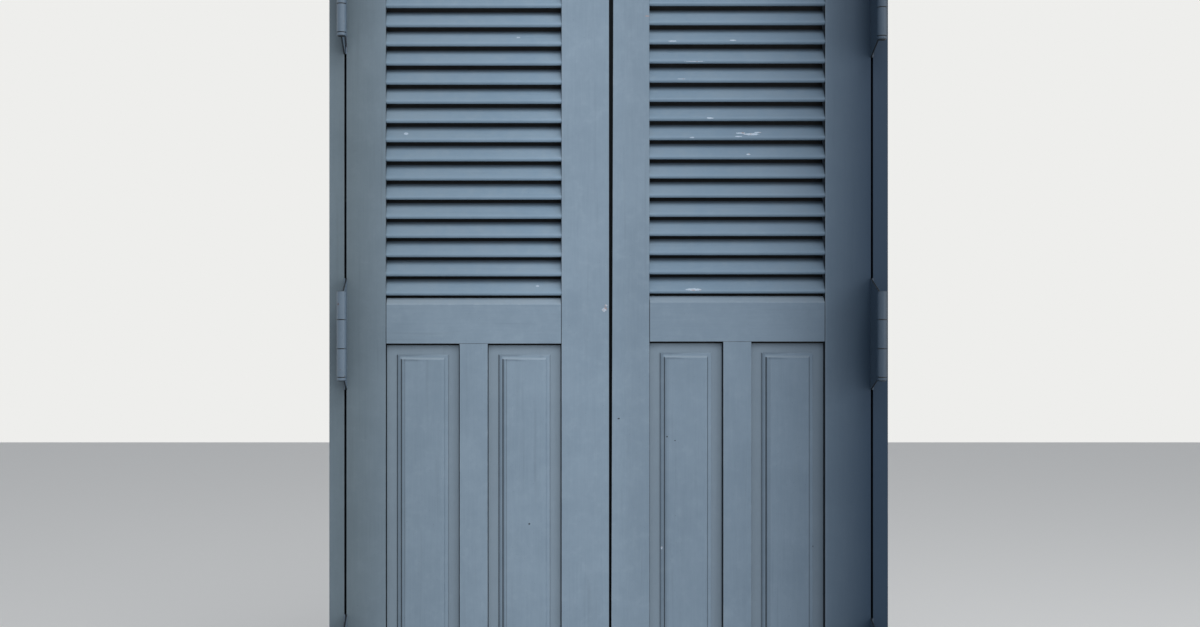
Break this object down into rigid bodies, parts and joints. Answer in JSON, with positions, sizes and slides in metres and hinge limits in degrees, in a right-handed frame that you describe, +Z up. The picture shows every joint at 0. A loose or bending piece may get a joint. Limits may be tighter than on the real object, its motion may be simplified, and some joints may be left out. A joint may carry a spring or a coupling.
{
  "type": "louvred shutters",
  "caption": "Pair of painted louvred shutters in a rebated frame, with raised panels below the louvres, projecting hinges and inside bolts.",
  "frame": {"origin": "middle of the sill's underside, halfway through the frame's depth", "axes": "+X to the right as seen from outside, +Y inwards, +Z up; the outside faces -Y"},
  "size_m": [1.1116, 0.16, 1.895],
  "materials": {
    "painted_wood": "satin grey-blue paint, a little worn and chipped",
    "painted_steel": "the same grey-blue paint over steel"
  },
  "bodies": {
    "frame": {"frame_head": "painted_wood", "frame_left_jamb": "painted_wood", "frame_middle_post": "painted_wood", "frame_right_jamb": "painted_wood", "frame_sill": "painted_wood", "keeper_screws": "painted_steel", "left_bottom_bolt_keeper": "painted_steel", "left_bottom_hinge_frame_wing": "painted_steel", "left_bottom_hinge_pin": "painted_steel", "left_frame_hinge_screws": "painted_steel", "left_middle_hinge_frame_wing": "painted_steel", "left_middle_hinge_pin": "painted_steel", "left_top_bolt_keeper": "painted_steel", "left_top_hinge_frame_wing": "painted_steel", "left_top_hinge_pin": "painted_steel", "right_bottom_bolt_keeper": "painted_steel", "right_bottom_hinge_frame_wing": "painted_steel", "right_bottom_hinge_pin": "painted_steel", "right_frame_hinge_screws": "painted_steel", "right_middle_hinge_frame_wing": "painted_steel", "right_middle_hinge_pin": "painted_steel", "right_top_bolt_keeper": "painted_steel", "right_top_hinge_frame_wing": "painted_steel", "right_top_hinge_pin": "painted_steel"},
    "left_leaf": {"left_bolt_plate_screws": "painted_steel", "left_bottom_bolt_plate": "painted_steel", "left_bottom_hinge_leaf_wing": "painted_steel", "left_bottom_rail": "painted_wood", "left_hinge_stile": "painted_wood", "left_inner_panel": "painted_wood", "left_leaf_hinge_screws": "painted_steel", "left_lock_rail": "painted_wood", "left_meeting_stile": "painted_wood", "left_middle_hinge_leaf_wing": "painted_steel", "left_muntin": "painted_wood", "left_outer_panel": "painted_wood", "left_slats": "painted_wood", "left_top_bolt_plate": "painted_steel", "left_top_hinge_leaf_wing": "painted_steel", "left_top_rail": "painted_wood"},
    "right_leaf": {"right_bolt_plate_screws": "painted_steel", "right_bottom_bolt_plate": "painted_steel", "right_bottom_hinge_leaf_wing": "painted_steel", "right_bottom_rail": "painted_wood", "right_hinge_stile": "painted_wood", "right_inner_panel": "painted_wood", "right_leaf_hinge_screws": "painted_steel", "right_lock_rail": "painted_wood", "right_meeting_stile": "painted_wood", "right_middle_hinge_leaf_wing": "painted_steel", "right_muntin": "painted_wood", "right_outer_panel": "painted_wood", "right_slats": "painted_wood", "right_top_bolt_plate": "painted_steel", "right_top_hinge_leaf_wing": "painted_steel", "right_top_rail": "painted_wood"},
    "left_top_bolt": {"left_top_bolt_rod": "painted_steel"},
    "left_bottom_bolt": {"left_bottom_bolt_rod": "painted_steel"},
    "right_top_bolt": {"right_top_bolt_rod": "painted_steel"},
    "right_bottom_bolt": {"right_bottom_bolt_rod": "painted_steel"}
  },
  "joints": [
    {"name": "left_leaf_swing", "type": "hinge", "parent": "frame", "child": "left_leaf", "pos_m": [-0.52375, -0.105, 0.951], "axis": [0, 0, -1], "range_deg": [0, 180]},
    {"name": "right_leaf_swing", "type": "hinge", "parent": "frame", "child": "right_leaf", "pos_m": [0.52375, -0.105, 0.951], "axis": [0, 0, 1], "range_deg": [0, 180]},
    {"name": "left_top_bolt_slide", "type": "slide", "parent": "left_leaf", "child": "left_top_bolt", "axis": [0, 0, 1], "range_m": [0, 0.018]},
    {"name": "left_bottom_bolt_slide", "type": "slide", "parent": "left_leaf", "child": "left_bottom_bolt", "axis": [0, 0, -1], "range_m": [0, 0.018]},
    {"name": "right_top_bolt_slide", "type": "slide", "parent": "right_leaf", "child": "right_top_bolt", "axis": [0, 0, 1], "range_m": [0, 0.018]},
    {"name": "right_bottom_bolt_slide", "type": "slide", "parent": "right_leaf", "child": "right_bottom_bolt", "axis": [0, 0, -1], "range_m": [0, 0.018]}
  ]
}
